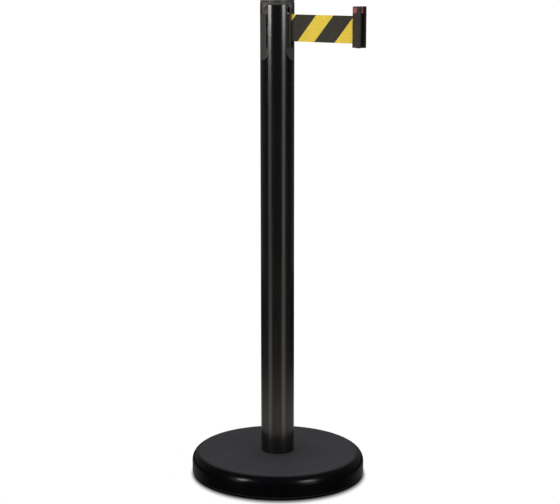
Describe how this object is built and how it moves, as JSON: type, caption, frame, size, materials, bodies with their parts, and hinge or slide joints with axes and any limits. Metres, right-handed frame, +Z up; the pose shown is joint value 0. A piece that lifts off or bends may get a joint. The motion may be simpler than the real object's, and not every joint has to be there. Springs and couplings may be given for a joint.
{
  "type": "retractable belt stanchion",
  "caption": "Queue barrier post: a tube on a heavy round base, with a spring-wound striped belt in its head, T-rail stations for other belts, and a locking belt clip.",
  "frame": {"origin": "centre of the base on the floor, under the tube's axis", "axes": "+Z up along the tube; +X the way the belt is pulled out of the head; -Y to the right of someone facing along +X"},
  "size_m": [0.3404, 0.332, 0.9],
  "materials": {
    "cover_paint": "semi-gloss black powder coat on pressed steel",
    "tube_paint": "semi-gloss black powder coat on drawn steel tube",
    "iron": "grey cast iron, dip painted",
    "foot_rubber": "matt black rubber",
    "zinc_steel": "bright zinc plated steel",
    "bright_steel": "ground steel",
    "spring_steel": "blued spring steel",
    "head_plastic": "fine-textured charcoal ABS",
    "clip_plastic": "fine-textured black ABS",
    "lock_plastic": "red moulded plastic",
    "spool_plastic": "natural acetal",
    "washer_plastic": "white PTFE",
    "bronze": "sintered bronze",
    "webbing": "woven polyester, diagonal yellow and dark grey stripes"
  },
  "bodies": {
    "stanchion": {"base_cover": "cover_paint", "base_weight": "iron", "floor_ring": "foot_rubber", "base_bolt": "zinc_steel", "flat_washer": "zinc_steel", "spring_washer": "zinc_steel", "foot_plug": "zinc_steel", "post_tube": "tube_paint", "cassette_body": "head_plastic", "cassette_screws": "zinc_steel", "guide_pins": "bright_steel", "spring_cover": "head_plastic", "cover_screws": "zinc_steel", "mainspring": "spring_steel", "thrust_washer": "washer_plastic", "spool_shaft": "bright_steel", "shaft_clip": "zinc_steel", "top_cap": "head_plastic"},
    "spool": {"spool": "spool_plastic", "spool_flange": "spool_plastic", "spool_bushes": "bronze", "spring_arbor": "spool_plastic", "belt_roll": "webbing"},
    "belt": {"belt_web": "webbing", "belt_end_loop": "webbing"},
    "clip": {"clip_body": "clip_plastic", "clip_pin": "bright_steel", "lock_spring": "spring_steel"},
    "lock": {"lock_button": "lock_plastic"}
  },
  "joints": [
    {"name": "belt_pull", "type": "slide", "parent": "stanchion", "child": "belt", "axis": [1, 0, 0], "range_m": [-0.1255, 1.872], "stiffness_N_per_m": 2, "springref_m": -4, "deforming": ["belt_web"]},
    {"name": "spool_spin", "type": "hinge", "parent": "stanchion", "child": "spool", "pos_m": [0, 0, 0.84], "axis": [0, 0, 1], "continuous": true, "deforming": ["mainspring"]},
    {"name": "clip_swivel", "type": "hinge", "parent": "belt", "child": "clip", "pos_m": [0.16315, 0, 0.8456], "axis": [0, 0, 1], "range_deg": [-10, 10]},
    {"name": "lock_slide", "type": "slide", "parent": "clip", "child": "lock", "axis": [-1, 0, 0], "range_m": [0, 0.0023], "stiffness_N_per_m": 700, "springref_m": -0.002, "deforming": ["lock_spring"]}
  ],
  "couplings": [
    {"joint": "spool_spin", "follows": "belt_pull", "rad_per_m": -59.9}
  ]
}
